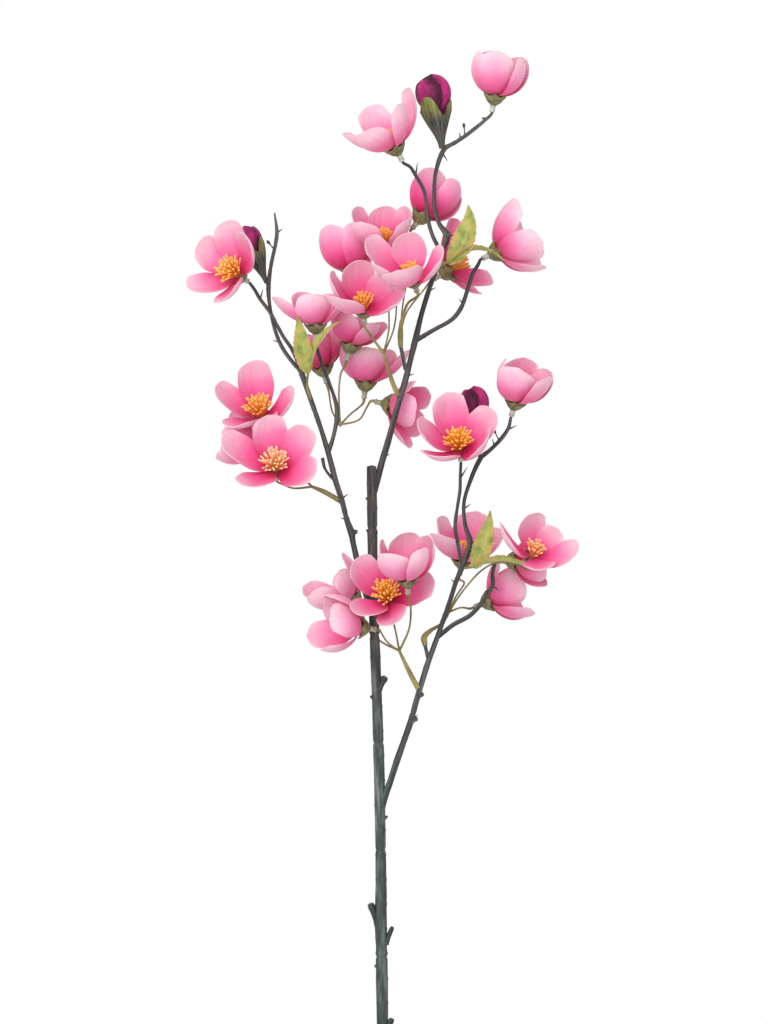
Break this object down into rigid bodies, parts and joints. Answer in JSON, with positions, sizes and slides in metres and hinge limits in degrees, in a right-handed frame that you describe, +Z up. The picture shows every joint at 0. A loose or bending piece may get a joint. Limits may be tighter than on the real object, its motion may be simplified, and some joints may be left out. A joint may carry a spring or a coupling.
{
  "type": "apple blossom branch",
  "caption": "Cut spray of artificial apple blossom: a dark knotty stem with forked twigs, cupped pink blooms, magenta buds and small green leaves, lying on a surface.",
  "frame": {"origin": "middle of the footprint, on the surface that the spray lies on", "axes": "+Z up from the surface, +Y along the stem from its cut foot to its tip, +X to the right of the stem as seen from above"},
  "size_m": [0.2328, 0.64, 0.1259],
  "materials": {
    "bark": "matte",
    "sprig_and_heart": "matte",
    "petal": "matte",
    "bud_petal": "satin",
    "bud_calyx": "matte",
    "leaf": "matte"
  },
  "bodies": {
    "root": {"stem": "bark", "branch_right": "bark", "branch_left": "bark", "branch_upper": "bark", "sprig_upper": "sprig_and_heart", "sprig_front": "sprig_and_heart", "sprig_middle": "sprig_and_heart", "sprig_left": "sprig_and_heart", "sprig_right": "sprig_and_heart", "sprig_stem": "sprig_and_heart", "heart_19": "sprig_and_heart", "heart_20": "sprig_and_heart", "heart_23": "sprig_and_heart", "heart_15": "sprig_and_heart", "heart_10": "sprig_and_heart", "heart_02": "sprig_and_heart", "heart_01": "sprig_and_heart", "heart_03": "sprig_and_heart", "petals_01": "petal", "petals_02": "petal", "petals_03": "petal", "petals_04": "petal", "petals_05": "petal", "petals_06": "petal", "petals_07": "petal", "petals_08": "petal", "petals_09": "petal", "petals_10": "petal", "petals_11": "petal", "petals_12": "petal", "petals_13": "petal", "petals_14": "petal", "petals_15": "petal", "petals_16": "petal", "petals_17": "petal", "petals_18": "petal", "petals_19": "petal", "petals_20": "petal", "petals_21": "petal", "petals_22": "petal", "petals_23": "petal", "petals_24": "petal", "petals_25": "petal", "petals_26": "petal", "petals_27": "petal", "petals_28": "petal", "bud_petals_top": "bud_petal", "bud_calyx_top": "bud_calyx", "bud_petals_left": "bud_petal", "bud_calyx_left": "bud_calyx", "bud_petals_right": "bud_petal", "bud_calyx_right": "bud_calyx", "leaves_upper": "leaf", "leaves_left": "leaf", "leaves_right": "leaf"}
  },
  "joints": []
}
